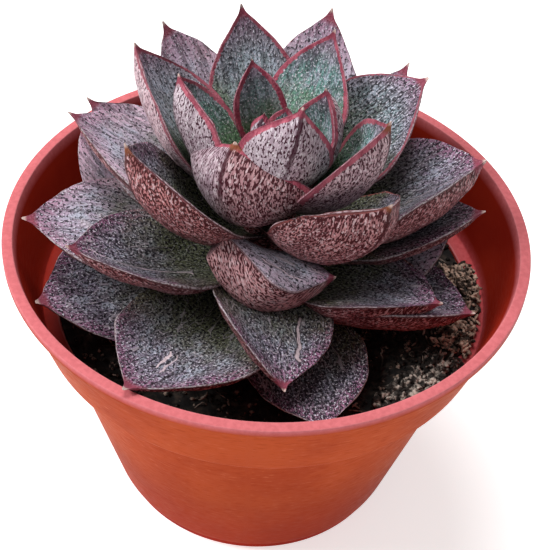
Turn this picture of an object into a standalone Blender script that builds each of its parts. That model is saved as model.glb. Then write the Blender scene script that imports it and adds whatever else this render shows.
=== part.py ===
"""Potted echeveria: a plastic nursery pot, soil, a short stem with the heart, and thick leaves.

All lengths below are in millimetres and are turned into metres when a mesh is made.
The origin is the middle of the pot's foot, +Z is up and -Y is the front.
Azimuths are measured from the front towards +X.
"""
import math

import bmesh
import bpy
import numpy as np

MM = 0.001

# Pot
POT_HEIGHT = 78.0
POT_SEGMENTS = 56
LIP_OUTER_R = 60.0
LIP_INNER_R = 57.6
LIP_THICKNESS = 2.4
COLLAR_OUTER_TOP_R = 58.8
COLLAR_OUTER_FOOT_R = 53.8
COLLAR_INNER_FOOT_R = 52.6
LEDGE_TOP_Z = 58.4
LEDGE_THICKNESS = 1.2
BODY_OUTER_TOP_R = 50.5
BODY_INNER_TOP_R = 49.3
BODY_OUTER_FOOT_R = 38.0
BODY_WALL = 1.2
BASE_UNDERSIDE_Z = 2.6
BASE_TOP_Z = 4.2
FOOT_OUTER_R = 36.4
FOOT_INNER_R = 34.6
DRAIN_R = 5.5

# Soil
SOIL_SEGMENTS = 44
SOIL_GAP = 0.35
SOIL_EDGE_Z = 57.2
SOIL_MIDDLE_Z = 57.4
SOIL_HOLE_R = 6.0
SOIL_HOLE_FLOOR_Z = 49.0
# Two heaps of grains against the wall: azimuth and half width in degrees
SOIL_HEAPS = ((84.0, 22.0), (50.0, 18.0))

# Stem
STEM_PROFILE = (
    (4.8, 49.4),
    (5.2, 58.0),
    (6.4, 66.0),
    (6.4, 84.0),
    (5.0, 90.0),
    (3.4, 96.0),
    (1.6, 102.0),
)
STEM_SEGMENTS = 14

# Leaves
LEAF_GAP = 0.3
LEAF_STATIONS = (0.0, 0.14, 0.28, 0.42, 0.56, 0.68, 0.79, 0.88, 0.945)
UPPER_STEPS = (-1.0, -0.5, 0.0, 0.5, 1.0)
LOWER_STEPS = (0.85, 0.5, 0.0, -0.5, -0.85)
OUTLINE = ((0.0, 0.36), (0.15, 0.57), (0.35, 0.87), (0.52, 1.0), (0.68, 0.90),
           (0.82, 0.60), (0.92, 0.25), (0.965, 0.075), (1.0, 0.015))
BODY = ((0.0, 0.62), (0.2, 0.85), (0.45, 1.0), (0.7, 0.86), (0.88, 0.48),
        (0.965, 0.13), (1.0, 0.03))

# One row a leaf, the youngest first:
# azimuth, reach and height of the tip; azimuth and height of the root;
# width, thickness, sag of the middle in hundredths of the length, sideways bend
# in hundredths, roll in degrees, cup in hundredths of the half width
LEAVES = (
    (27, 12, 119, 12, 90, 21, 4.5, 12, 7, 26, 21),
    (-148, 11, 116, -160, 91, 12, 4.2, 3, 2, 20, 37),
    (92, 10, 116, 90, 89, 16, 4.5, 12, 2, -30, 34),
    (-37, 13, 109, -30, 87, 33, 6, 20, -3, -6, 38),
    (-107, 22, 113, -100, 85, 24, 5, 6, -3, -28, 42),
    (62, 26, 118, 72, 84, 26, 5, 8, 4, -1, 44),
    (158, 33, 111, 159, 86, 23, 4.5, 16, -2, 18, 30),
    (-118, 36, 113, -121, 83, 26, 4.5, 11, -2, -20, 44),
    (-166, 40, 111, -168, 83, 23, 4.5, 17, 3, -2, 20),
    (38, 25, 81.5, -31, 89, 18, 13, 4, -6, -26, -22),
    (48, 33, 105, 34, 81, 32, 5, 15, 2, 14, 45),
    (-60, 34, 112, -48, 78, 28, 4.5, 13, -1, 2, 43),
    (122, 40, 106, 124, 79, 31, 5.5, 5, -6, 4, 20),
    (165, 46, 108, 166, 79, 26, 5, 14, -2, -1, 10),
    (-57, 49, 92, -76, 72, 27, 4.8, 6, -5, -6, 32),
    (92, 46.5, 99, 106, 77, 34, 7.5, 9, -1, 16, 34),
    (-142, 45, 107, -142, 76, 26, 5, 14, 7, 0, 12),
    (-104, 48, 97, -109, 75, 26, 5, 6, 5, -11, 16),
    (7, 46, 73, 0, 67, 28, 5.5, -6, 4, 20, 30),
    (138, 46, 101, 140, 74, 23, 5, 14, -3, 7, 10),
    (178, 52, 91, 180, 73, 26, 5, 10, 0, -5, 10),
    (87, 48, 88, 86, 72, 25, 5, 6, -3, 10, 14),
    (59, 45, 79, 72, 69, 28, 7, 3, 5, 16, 26),
    (-116, 49, 94, -119, 72, 27, 5, 8, 3, 1, 14),
    (-79, 55, 84, -79, 69, 31, 5, -1, 1, 5, 12),
    (-153, 53, 84, -151, 70, 26, 5, 7, 0, -2, 8),
    (97, 44, 77, 100, 68, 26, 5, 5, 5, -10, 6),
    (-117, 52, 85, -96, 67, 28, 5, 7, -9, -4, 6),
    (150, 53, 82, 149, 68, 27, 5.5, 6, 0, 0, 8),
    (66, 51, 74, 64, 64, 32, 6, 3, 1, 14, 30),
    (-26, 59.7, 80.2, -32, 64, 34, 5, 5, -3, 0, 24),
    (-176, 51, 72, -174, 65, 26, 5, 5, 0, -2, 7),
    (17, 51, 65.5, 24, 63, 28, 4.2, 4, -3, 0, 5),
    (-63, 55.3, 73, -68.5, 63.6, 34, 5, 5, 4.6, 8, 7),
    (121, 51, 72, 123, 63, 27, 5.5, 5, 0, -2, 8),
    (-132, 51, 69, -130, 63, 27, 5, 4, 0, -2, 8),
)
# Where a root stands: its distance from the axis, and the share by which it narrows
LEAF_SEAT = (4.0, 0.0)
HEART_SEAT = (1.0, 0.0)
ODD_ROOTS = {0: (3.0, 0.0), 1: (3.0, 0.0), 2: (3.0, 0.0), 5: (4.0, 0.7), 9: (18.0, 0.1)}

# The small leaves of the heart, grown in one with the stem
HEART = (
    (-30, 4.5, 112, -30, 96, 8, 3.5, 5, 0, 0, 15),
    (150, 4.5, 108, 150, 95, 8, 3.5, 6, 0, 0, 20),
    (60, 4.0, 106, 60, 95, 7, 3.2, 6, 0, 0, 20),
)


def clear_scene():
    for item in list(bpy.data.objects):
        bpy.data.objects.remove(item, do_unlink=True)


def make_material(name, color, roughness):
    material = bpy.data.materials.new(name)
    material.use_nodes = True
    shader = material.node_tree.nodes["Principled BSDF"]
    shader.inputs["Base Color"].default_value = (*color, 1.0)
    shader.inputs["Roughness"].default_value = roughness
    return material


def make_object(name, verts, faces, material):
    mesh = bpy.data.meshes.new(name)
    mesh.from_pydata([tuple(float(c) * MM for c in v) for v in verts], [], faces)
    mesh.update()
    bm = bmesh.new()
    bm.from_mesh(mesh)
    bmesh.ops.recalc_face_normals(bm, faces=bm.faces)
    bm.to_mesh(mesh)
    bm.free()
    obj = bpy.data.objects.new(name, mesh)
    bpy.context.scene.collection.objects.link(obj)
    obj.data.materials.append(material)
    return obj


def revolve(profile, segments):
    """A closed ring of (radius, height) points turned about the axis."""
    verts = []
    faces = []
    count = len(profile)
    for s in range(segments):
        a = 2.0 * math.pi * s / segments
        for r, z in profile:
            verts.append((r * math.sin(a), -r * math.cos(a), z))
    for s in range(segments):
        t = (s + 1) % segments
        for i in range(count):
            j = (i + 1) % count
            faces.append((s * count + i, t * count + i, t * count + j, s * count + j))
    return verts, faces


def inner_floor_r():
    """Radius of the pot's inner side just above its floor."""
    slope = (BODY_OUTER_TOP_R - BODY_OUTER_FOOT_R) / (LEDGE_TOP_Z - LEDGE_THICKNESS - 4.6)
    return BODY_OUTER_FOOT_R - BODY_WALL + slope * 1.0


def pot_profile():
    return (
        (DRAIN_R, BASE_UNDERSIDE_Z),
        (FOOT_INNER_R, BASE_UNDERSIDE_Z),
        (FOOT_INNER_R, 0.0),
        (FOOT_OUTER_R, 0.0),
        (FOOT_OUTER_R + 0.2, 2.8),
        (BODY_OUTER_FOOT_R - 0.4, 3.4),
        (BODY_OUTER_FOOT_R, 4.6),
        (BODY_OUTER_TOP_R, LEDGE_TOP_Z - LEDGE_THICKNESS),
        (COLLAR_OUTER_FOOT_R - 0.3, LEDGE_TOP_Z - LEDGE_THICKNESS),
        (COLLAR_OUTER_FOOT_R, LEDGE_TOP_Z - LEDGE_THICKNESS + 0.5),
        (COLLAR_OUTER_TOP_R, POT_HEIGHT - LIP_THICKNESS),
        (LIP_OUTER_R, POT_HEIGHT - LIP_THICKNESS + 0.3),
        (LIP_OUTER_R, POT_HEIGHT - 0.4),
        (LIP_OUTER_R - 0.4, POT_HEIGHT),
        (LIP_INNER_R + 0.3, POT_HEIGHT),
        (LIP_INNER_R, POT_HEIGHT - 0.4),
        (COLLAR_INNER_FOOT_R, LEDGE_TOP_Z),
        (BODY_INNER_TOP_R, LEDGE_TOP_Z),
        (inner_floor_r(), BASE_TOP_Z + 1.0),
        (inner_floor_r() - 1.2, BASE_TOP_Z),
        (DRAIN_R, BASE_TOP_Z),
    )


def heap(azimuth):
    """How high the soil is heaped at an azimuth, from 0 to 1."""
    best = 0.0
    for middle, half_width in SOIL_HEAPS:
        off = abs((azimuth - middle + 180.0) % 360.0 - 180.0) / half_width
        best = max(best, 1.0 - off * off)
    return best


def build_soil(material):
    rng = np.random.default_rng(5)
    verts = []
    rows = 9
    for s in range(SOIL_SEGMENTS):
        azimuth = 360.0 * s / SOIL_SEGMENTS
        a = math.radians(azimuth)
        h = heap(azimuth)
        over = min(1.0, max(0.0, (h - 0.3) / 0.3))
        rough = rng.uniform(-0.7, 0.7, 4)
        edge_r = BODY_INNER_TOP_R + 0.4 + 1.8 * over
        edge_z = SOIL_EDGE_Z + 2.6 * h
        points = (
            (edge_r, BASE_TOP_Z + SOIL_GAP),
            (edge_r, edge_z),
            (edge_r - 1.3, edge_z + 0.6 + 1.8 * h),
            (44.0, SOIL_EDGE_Z + 0.9 + 2.6 * h + rough[0]),
            (34.0, SOIL_EDGE_Z + 0.6 + rough[1] * 0.5),
            (22.0, SOIL_MIDDLE_Z + rough[2] * 0.4),
            (11.0, SOIL_MIDDLE_Z + rough[3] * 0.3),
            (SOIL_HOLE_R, SOIL_MIDDLE_Z),
            (SOIL_HOLE_R, SOIL_HOLE_FLOOR_Z),
        )
        for r, z in points:
            verts.append((r * math.sin(a), -r * math.cos(a), z))
    faces = []
    for s in range(SOIL_SEGMENTS):
        t = (s + 1) % SOIL_SEGMENTS
        for i in range(rows - 1):
            faces.append((s * rows + i, t * rows + i, t * rows + i + 1, s * rows + i + 1))
    bottom = len(verts)
    verts.append((0.0, 0.0, BASE_TOP_Z + SOIL_GAP))
    hole = len(verts)
    verts.append((0.0, 0.0, SOIL_HOLE_FLOOR_Z))
    for s in range(SOIL_SEGMENTS):
        t = (s + 1) % SOIL_SEGMENTS
        faces.append((bottom, t * rows, s * rows))
        faces.append((hole, s * rows + rows - 1, t * rows + rows - 1))
    soil = make_object("soil", verts, faces, material)

    # The wall is trimmed to lie beside the pot's inner side and on its ledge
    floor_r = inner_floor_r() - SOIL_GAP
    verts, faces = revolve((
        (BODY_INNER_TOP_R - SOIL_GAP, LEDGE_TOP_Z + SOIL_GAP),
        (floor_r, BASE_TOP_Z + 1.0),
        (floor_r - 1.2, BASE_TOP_Z),
        (LIP_OUTER_R, BASE_TOP_Z - 1.0),
        (LIP_OUTER_R, LEDGE_TOP_Z + SOIL_GAP),
    ), POT_SEGMENTS)
    trim = make_object("soil_trim", verts, faces, material)
    cut_clear(soil, trim)
    bpy.data.objects.remove(trim, do_unlink=True)
    finish_mesh(soil)


def column(profile, segments):
    """A solid column about the axis, closed by a flat foot and a point."""
    verts = []
    faces = []
    rings = len(profile)
    for r, z in profile:
        for s in range(segments):
            a = 2.0 * math.pi * s / segments
            verts.append((r * math.sin(a), -r * math.cos(a), z))
    for i in range(rings - 1):
        for s in range(segments):
            t = (s + 1) % segments
            faces.append((i * segments + s, i * segments + t,
                          (i + 1) * segments + t, (i + 1) * segments + s))
    top = len(verts)
    verts.append((0.0, 0.0, profile[-1][1] + 1.0))
    foot = len(verts)
    verts.append((0.0, 0.0, profile[0][1]))
    for s in range(segments):
        t = (s + 1) % segments
        last = (rings - 1) * segments
        faces.append((last + s, last + t, top))
        faces.append((t, s, foot))
    return verts, faces


def smooth_curve(points, at):
    """Monotone cubic through the given points."""
    x = np.array([p[0] for p in points], float)
    y = np.array([p[1] for p in points], float)
    h = np.diff(x)
    d = np.diff(y) / h
    m = np.zeros_like(y)
    for i in range(1, len(x) - 1):
        if d[i - 1] * d[i] > 0.0:
            w1 = 2.0 * h[i] + h[i - 1]
            w2 = h[i] + 2.0 * h[i - 1]
            m[i] = (w1 + w2) / (w1 / d[i - 1] + w2 / d[i])
    m[0] = d[0]
    m[-1] = d[-1]
    k = np.clip(np.searchsorted(x, at) - 1, 0, len(x) - 2)
    t = (at - x[k]) / h[k]
    return ((1 + 2 * t) * (1 - t) ** 2 * y[k] + t * (1 - t) ** 2 * h[k] * m[k]
            + t * t * (3 - 2 * t) * y[k + 1] + t * t * (t - 1) * h[k] * m[k + 1])


def heading(azimuth):
    a = math.radians(azimuth)
    return np.array([math.sin(a), -math.cos(a), 0.0])


def leaf_mesh(row, seat, stations, upper, lower):
    """A thick leaf: a bent middle line carrying cupped upper and keeled lower sides."""
    azimuth, reach, tip_z, root_az, root_z, width, thick, sag, sway, roll, cup = row
    root_r, taper = seat
    root = heading(root_az) * root_r + np.array([0.0, 0.0, root_z])
    tip = heading(azimuth) * reach + np.array([0.0, 0.0, tip_z])
    length = np.linalg.norm(tip - root)
    along = (tip - root) / length
    out = heading((azimuth + root_az) / 2.0)
    side = np.cross(along, np.array([0.0, 0.0, 1.0]) - out)
    side /= np.linalg.norm(side)
    over = np.cross(side, along)
    bend = (root + tip) / 2.0 - over * sag * 0.02 * length + side * sway * 0.02 * length
    u = np.array(stations)[:, None]
    middle = (1 - u) ** 2 * root + 2 * u * (1 - u) * bend + u * u * tip
    run = (1 - u) * (bend - root) + u * (tip - bend)
    run /= np.linalg.norm(run, axis=1)[:, None]
    ref = np.array([0.0, 0.0, 1.0]) - 0.8 * out
    face = ref - (run @ ref)[:, None] * run
    face /= np.linalg.norm(face, axis=1)[:, None]
    across = np.cross(run, face)
    turn = np.radians(roll) * np.clip(u * 1.4, 0.0, 1.0)
    across, face = (across * np.cos(turn) + face * np.sin(turn),
                    face * np.cos(turn) - across * np.sin(turn))
    narrow = 1.0 - taper * (1.0 - u[:, 0]) ** 3
    half = width / 2.0 * smooth_curve(OUTLINE, u[:, 0]) * narrow
    body = thick * smooth_curve(BODY, u[:, 0]) * narrow
    verts = []
    for i in range(len(u)):
        keel = 2.2 - 0.8 * u[i, 0]
        for s in upper:
            lift = cup * 0.01 * half[i] * abs(s) ** 1.8
            verts.append(middle[i] + across[i] * half[i] * s + face[i] * lift)
        for s in lower:
            lift = cup * 0.01 * half[i] * abs(s) ** 1.8
            drop = body[i] * (1.0 - abs(s) ** keel) ** 0.62
            verts.append(middle[i] + across[i] * half[i] * s + face[i] * (lift - drop))
    ring = len(upper) + len(lower)
    faces = []
    for i in range(len(u) - 1):
        for j in range(ring):
            k = (j + 1) % ring
            a, b, c, d = i * ring + j, i * ring + k, (i + 1) * ring + k, (i + 1) * ring + j
            faces.append((a, b, c))
            faces.append((a, c, d))
    point = len(verts)
    verts.append(tip)
    faces.append(tuple(reversed(range(ring))))
    last = (len(u) - 1) * ring
    for j in range(ring):
        k = (j + 1) % ring
        faces.append((last + j, last + k, point))
    return verts, faces


def swell(obj, gap):
    """Move every face of a mesh outwards by the gap."""
    bm = bmesh.new()
    bm.from_mesh(obj.data)
    bm.normal_update()
    moves = [v.normal * (gap * MM * min(v.calc_shell_factor(), 2.5)) for v in bm.verts]
    for vert, move in zip(bm.verts, moves):
        vert.co += move
    bm.to_mesh(obj.data)
    bm.free()


def bounds(obj):
    points = np.array([v.co[:] for v in obj.data.vertices])
    return points.min(axis=0), points.max(axis=0)


def boxes_meet(a, b):
    return bool(np.all(a[0] <= b[1]) and np.all(b[0] <= a[1]))


def closed_volume(mesh):
    """The volume in mm3, or zero where the mesh isn't closed."""
    bm = bmesh.new()
    bm.from_mesh(mesh)
    bmesh.ops.triangulate(bm, faces=bm.faces)
    closed = len(bm.faces) > 3 and all(len(e.link_faces) == 2 for e in bm.edges)
    volume = bm.calc_volume() * 1e9 if closed else 0.0
    bm.free()
    return volume


def merge_close(mesh, distance):
    """Split a mesh into triangles and join corners that fall together."""
    bm = bmesh.new()
    bm.from_mesh(mesh)
    bmesh.ops.triangulate(bm, faces=bm.faces)
    bmesh.ops.remove_doubles(bm, verts=bm.verts, dist=distance)
    bmesh.ops.dissolve_degenerate(bm, dist=distance, edges=bm.edges)
    bm.to_mesh(mesh)
    bm.free()


def apply_boolean(obj, tool, operation):
    """Cut or join, and keep the first result that is closed and of a likely size."""
    before = closed_volume(obj.data)
    low, high = (0.3, 1.001) if operation == "DIFFERENCE" else (0.999, 3.0)
    for solver in ("EXACT", "MANIFOLD"):
        modifier = obj.modifiers.new("shape", "BOOLEAN")
        modifier.operation = operation
        modifier.solver = solver
        modifier.object = tool
        graph = bpy.context.evaluated_depsgraph_get()
        for distance in (0.00001, 0.000001, 0.0000001):
            result = bpy.data.meshes.new_from_object(obj.evaluated_get(graph))
            merge_close(result, distance)
            if low * before <= closed_volume(result) <= high * before:
                obj.modifiers.remove(modifier)
                obj.data = result
                return True
        obj.modifiers.remove(modifier)
    return False


def cut_clear(obj, tool):
    """Cut an object by a tool, and by a slightly larger one where that fails."""
    for _ in range(4):
        if apply_boolean(obj, tool, "DIFFERENCE"):
            return
        swell(tool, 0.03)


def drop_islands(bm):
    """Keep only the largest connected piece."""
    left = set(bm.verts)
    islands = []
    while left:
        stack = [left.pop()]
        island = set(stack)
        while stack:
            vert = stack.pop()
            for edge in vert.link_edges:
                other = edge.other_vert(vert)
                if other in left:
                    left.discard(other)
                    island.add(other)
                    stack.append(other)
        islands.append(island)
    islands.sort(key=len, reverse=True)
    for island in islands[1:]:
        bmesh.ops.delete(bm, geom=list(island), context="VERTS")


def finish_mesh(obj):
    """One closed piece of plain triangles without very short edges."""
    bm = bmesh.new()
    bm.from_mesh(obj.data)
    drop_islands(bm)
    bm.to_mesh(obj.data)
    bm.free()
    whole = closed_volume(obj.data)
    for distance in (0.0001, 0.00007, 0.00004, 0.00002, 0.0):
        for method in ("BEAUTY", "EAR_CLIP"):
            bm = bmesh.new()
            bm.from_mesh(obj.data)
            bmesh.ops.triangulate(bm, faces=bm.faces, ngon_method=method)
            bmesh.ops.dissolve_limit(bm, angle_limit=math.radians(0.6), verts=bm.verts,
                                     edges=bm.edges)
            if distance > 0.0:
                bmesh.ops.remove_doubles(bm, verts=bm.verts, dist=distance)
                bmesh.ops.dissolve_degenerate(bm, dist=distance, edges=bm.edges)
            bmesh.ops.triangulate(bm, faces=bm.faces, ngon_method=method)
            trial = bpy.data.meshes.new(obj.name)
            bm.to_mesh(trial)
            bm.free()
            if abs(closed_volume(trial) - whole) < 0.01 * whole:
                obj.data = trial
                return


def build():
    clear_scene()
    terracotta = make_material("pot_plastic", (0.50, 0.13, 0.07), 0.55)
    peat = make_material("peat", (0.03, 0.022, 0.018), 0.95)
    green = make_material("leaf_skin", (0.22, 0.15, 0.17), 0.6)

    verts, faces = revolve(pot_profile(), POT_SEGMENTS)
    make_object("pot", verts, faces, terracotta)
    build_soil(peat)

    verts, faces = column(STEM_PROFILE, STEM_SEGMENTS)
    stem = make_object("stem", verts, faces, green)
    for row in HEART:
        verts, faces = leaf_mesh(row, HEART_SEAT, LEAF_STATIONS, UPPER_STEPS, LOWER_STEPS)
        tool = make_object("heart_tool", verts, faces, green)
        apply_boolean(stem, tool, "UNION")
        bpy.data.objects.remove(tool, do_unlink=True)
    finish_mesh(stem)

    tools = []
    verts, faces = column(STEM_PROFILE, STEM_SEGMENTS)
    tools.append(make_object("stem_tool", verts, faces, green))
    for row in HEART:
        verts, faces = leaf_mesh(row, HEART_SEAT, LEAF_STATIONS, UPPER_STEPS, LOWER_STEPS)
        tools.append(make_object("heart_tool", verts, faces, green))
    for tool in tools:
        swell(tool, LEAF_GAP)
    for number, row in enumerate(LEAVES):
        seat = ODD_ROOTS.get(number, LEAF_SEAT)
        verts, faces = leaf_mesh(row, seat, LEAF_STATIONS, UPPER_STEPS, LOWER_STEPS)
        leaf = make_object("leaf_%02d" % (number + 1), verts, faces, green)
        box = bounds(leaf)
        for tool in tools:
            if boxes_meet(box, bounds(tool)):
                cut_clear(leaf, tool)
        finish_mesh(leaf)
        tools.append(make_object("leaf_tool", verts, faces, green))
        swell(tools[-1], LEAF_GAP)
    for tool in tools:
        bpy.data.objects.remove(tool, do_unlink=True)


build()
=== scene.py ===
"""Potted echeveria: leaf skins, soil and pot finishes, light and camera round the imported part.

Lengths named here are in millimetres, and become metres when a mesh is made.
Azimuths are in degrees from the front, -Y, towards +X.
"""

import math

import bmesh
import bpy
import numpy as np
from mathutils import Matrix, Vector


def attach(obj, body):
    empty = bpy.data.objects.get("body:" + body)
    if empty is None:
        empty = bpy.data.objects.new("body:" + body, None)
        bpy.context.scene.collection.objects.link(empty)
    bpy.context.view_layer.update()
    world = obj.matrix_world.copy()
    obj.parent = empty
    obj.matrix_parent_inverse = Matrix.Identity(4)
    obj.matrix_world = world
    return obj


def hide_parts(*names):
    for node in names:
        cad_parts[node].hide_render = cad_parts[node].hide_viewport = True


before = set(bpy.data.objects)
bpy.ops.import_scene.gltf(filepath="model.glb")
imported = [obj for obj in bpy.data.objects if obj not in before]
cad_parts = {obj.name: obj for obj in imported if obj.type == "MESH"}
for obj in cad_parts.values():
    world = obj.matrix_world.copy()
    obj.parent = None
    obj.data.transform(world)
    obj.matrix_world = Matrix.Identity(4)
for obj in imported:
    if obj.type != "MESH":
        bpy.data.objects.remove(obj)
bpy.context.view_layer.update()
MM = 0.001

# Photograph
IMAGE_HEIGHT = 550
FOCAL_PIXELS = 1168.664
SENSOR = 36.0
CAMERA_DISTANCE = 267.927
CAMERA_ELEVATION = 42.004
CAMERA_YAW = 0.088
CAMERA_PITCH = -2.56
CAMERA_ROLL = 3.795

# Pot
POT_HEIGHT = 78.0
POT_SEGMENTS = 224
LIP_OUTER_R = 60.0
LIP_INNER_R = 57.6
LIP_THICKNESS = 2.4
COLLAR_OUTER_TOP_R = 58.8
COLLAR_OUTER_FOOT_R = 53.8
COLLAR_INNER_FOOT_R = 52.6
LEDGE_TOP_Z = 58.4
LEDGE_THICKNESS = 1.2
BODY_OUTER_TOP_R = 50.5
BODY_INNER_TOP_R = 49.3
BODY_OUTER_FOOT_R = 38.0
BODY_WALL = 1.2
BASE_UNDERSIDE_Z = 2.6
BASE_TOP_Z = 4.2
FOOT_OUTER_R = 36.4
FOOT_INNER_R = 34.6
DRAIN_R = 5.5

# Soil
SOIL_GAP = 0.35
SOIL_EDGE_Z = 57.2
SOIL_MIDDLE_Z = 57.4
SOIL_HOLE_R = 6.0
SOIL_HOLE_FLOOR_Z = 49.0
SOIL_HEAPS = ((84.0, 22.0), (50.0, 18.0))

# Stem
STEM_PROFILE = (
    (4.8, 49.4),
    (5.2, 58.0),
    (6.4, 66.0),
    (6.4, 84.0),
    (5.0, 90.0),
    (3.4, 96.0),
    (1.6, 102.0),
)

# Leaves
OUTLINE = ((0.0, 0.36), (0.15, 0.57), (0.35, 0.87), (0.52, 1.0), (0.68, 0.90),
           (0.82, 0.60), (0.92, 0.25), (0.965, 0.075), (1.0, 0.015))
BODY = ((0.0, 0.62), (0.2, 0.85), (0.45, 1.0), (0.7, 0.86), (0.88, 0.48),
        (0.965, 0.13), (1.0, 0.03))

# One row a leaf, the youngest first:
# azimuth, reach and height of the tip; azimuth and height of the root;
# width, thickness, sag of the middle in hundredths of the length, sideways bend
# in hundredths, roll in degrees, cup in hundredths of the half width
LEAVES = (
    (27, 12, 119, 12, 90, 21, 4.5, 12, 7, 26, 21),
    (-148, 11, 116, -160, 91, 12, 4.2, 3, 2, 20, 37),
    (92, 10, 116, 90, 89, 16, 4.5, 12, 2, -30, 34),
    (-37, 13, 109, -30, 87, 33, 6, 20, -3, -6, 38),
    (-107, 22, 113, -100, 85, 24, 5, 6, -3, -28, 42),
    (62, 26, 118, 72, 84, 26, 5, 8, 4, -1, 44),
    (158, 33, 111, 159, 86, 23, 4.5, 16, -2, 18, 30),
    (-118, 36, 113, -121, 83, 26, 4.5, 11, -2, -20, 44),
    (-166, 40, 111, -168, 83, 23, 4.5, 17, 3, -2, 20),
    (38, 25, 81.5, -31, 89, 18, 13, 4, -6, -26, -22),
    (48, 33, 105, 34, 81, 32, 5, 15, 2, 14, 45),
    (-60, 34, 112, -48, 78, 28, 4.5, 13, -1, 2, 43),
    (122, 40, 106, 124, 79, 31, 5.5, 5, -6, 4, 20),
    (165, 46, 108, 166, 79, 26, 5, 14, -2, -1, 10),
    (-57, 49, 92, -76, 72, 27, 4.8, 6, -5, -6, 32),
    (92, 46.5, 99, 106, 77, 34, 7.5, 9, -1, 16, 34),
    (-142, 45, 107, -142, 76, 26, 5, 14, 7, 0, 12),
    (-104, 48, 97, -109, 75, 26, 5, 6, 5, -11, 16),
    (7, 46, 73, 0, 67, 28, 5.5, -6, 4, 20, 30),
    (138, 46, 101, 140, 74, 23, 5, 14, -3, 7, 10),
    (178, 52, 91, 180, 73, 26, 5, 10, 0, -5, 10),
    (87, 48, 88, 86, 72, 25, 5, 6, -3, 10, 14),
    (59, 45, 79, 72, 69, 28, 7, 3, 5, 16, 26),
    (-116, 49, 94, -119, 72, 27, 5, 8, 3, 1, 14),
    (-79, 55, 84, -79, 69, 31, 5, -1, 1, 5, 12),
    (-153, 53, 84, -151, 70, 26, 5, 7, 0, -2, 8),
    (97, 44, 77, 100, 68, 26, 5, 5, 5, -10, 6),
    (-117, 52, 85, -96, 67, 28, 5, 7, -9, -4, 6),
    (150, 53, 82, 149, 68, 27, 5.5, 6, 0, 0, 8),
    (66, 51, 74, 64, 64, 32, 6, 3, 1, 14, 30),
    (-26, 59.7, 80.2, -32, 64, 34, 5, 5, -3, 0, 24),
    (-176, 51, 72, -174, 65, 26, 5, 5, 0, -2, 7),
    (17, 51, 65.5, 24, 63, 28, 4.2, 4, -3, 0, 5),
    (-63, 55.3, 73, -68.5, 63.6, 34, 5, 5, 4.6, 8, 7),
    (121, 51, 72, 123, 63, 27, 5.5, 5, 0, -2, 8),
    (-132, 51, 69, -130, 63, 27, 5, 4, 0, -2, 8),
)
# Where a root stands: its distance from the axis, and the share by which it narrows
LEAF_SEAT = (4.0, 0.0)
HEART_SEAT = (1.0, 0.0)
ODD_ROOTS = {0: (3.0, 0.0), 1: (3.0, 0.0), 2: (3.0, 0.0), 5: (4.0, 0.7), 9: (18.0, 0.1)}
HEART = (
    (-30, 4.5, 112, -30, 96, 8, 3.5, 5, 0, 0, 15),
    (150, 4.5, 108, 150, 95, 8, 3.5, 6, 0, 0, 20),
    (60, 4.0, 106, 60, 95, 7, 3.2, 6, 0, 0, 20),
)
# How red an underside is at its two sides, and how orange its point and margin are,
# on leaves that differ from the plain red-brown of the older ones
UNDERSIDES = {
    1: (0.10, 0.22, 0.0),
    2: (0.15, 0.15, 0.0),
    3: (0.30, 0.30, 0.0),
    4: (0.25, 0.70, 0.5),
    5: (0.10, 0.15, 0.0),
    6: (0.45, 0.45, 0.5),
    8: (0.20, 0.20, 0.0),
    10: (0.80, 0.80, 0.0),
    11: (0.85, 0.85, 0.75),
    12: (0.95, 0.95, 0.6),
}
# How old a leaf looks, from 0 to 1, where that isn't as its place among the others says
AGES = {2: 0.0, 7: 0.12, 9: 0.32, 13: 0.50, 14: 0.65}
# How pale a leaf is (above zero) or how dark (below zero), next to the others: partly its own bloom
# and pigment, partly painted light, the strongly lit leaves at the back left made paler and the
# shaded ones at the front right darker
PALENESS_AND_PAINTED_LIGHT = {2: 0.15, 8: 0.45, 9: 0.30, 10: 0.60, 14: 0.75, 16: 0.10, 17: 1.00, 18: 0.75,
            20: 0.30, 22: -0.15, 24: 1.00, 25: 0.45, 27: 0.50, 28: 1.00, 19: -0.10, 30: -0.10,
            31: -0.05, 33: -0.45, 15: -0.15}
# Scratches and creases on the upper sides: leaf, start and end (from the root, from the
# midrib), half width, and how light (above zero) or dark (below zero) it is
SCARS = (
    (31, (38.2, 1.9), (44.9, 1.0), 0.30, 0.85),
    (31, (38.3, 0.3), (46.5, -0.8), 0.20, 0.70),
    (31, (44.2, -2.2), (52.7, -2.8), 0.35, -0.80),
    (31, (28.0, 6.0), (42.5, 5.0), 0.28, -0.60),
    (19, (21.6, -6.9), (34.6, -4.9), 0.95, -0.75),
    (19, (21.8, -6.9), (34.2, -5.0), 0.50, 0.60),
    (23, (30.5, -9.4), (36.7, -5.9), 0.28, -0.85),
    (23, (36.7, -5.9), (41.6, -0.1), 0.28, -0.85),
    (10, (12.6, -0.4), (16.6, 1.2), 0.85, 0.35),
    (10, (7.5, -3.4), (17.9, -2.0), 0.18, 0.80),
    (10, (17.9, -2.0), (23.6, 0.5), 0.18, 0.80),
    (10, (9.5, 4.6), (19.5, 4.8), 0.20, 0.75),
    (16, (26.0, -2.6), (37.0, -7.1), 0.22, -0.70),
    (16, (28.0, 4.0), (42.0, 1.4), 0.18, 0.50),
    (15, (20.5, -5.9), (35.0, -3.0), 0.22, 0.60),
    (15, (35.0, -3.0), (43.5, 1.0), 0.22, 0.60),
    (30, (21.2, 6.8), (30.1, -0.9), 0.24, -0.75),
    (30, (30.1, -0.9), (40.4, 1.5), 0.18, 0.60),
)
# How far apart the leaves lie in the space that the skin patterns are drawn in
SKIN_STEP = 71.3
# Leaves without a coloured margin
BARE_MARGINS = (10,)
UPPER_COUNT = 29
LOWER_COUNT = 25
STATION_COUNT = 58
POINT_STATION_COUNT = 18
EDGE_THICKNESS = 0.55
# How far an upper side bulges between its margins, as a share of the half width
FLESH = 0.045


# Helpers

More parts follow.
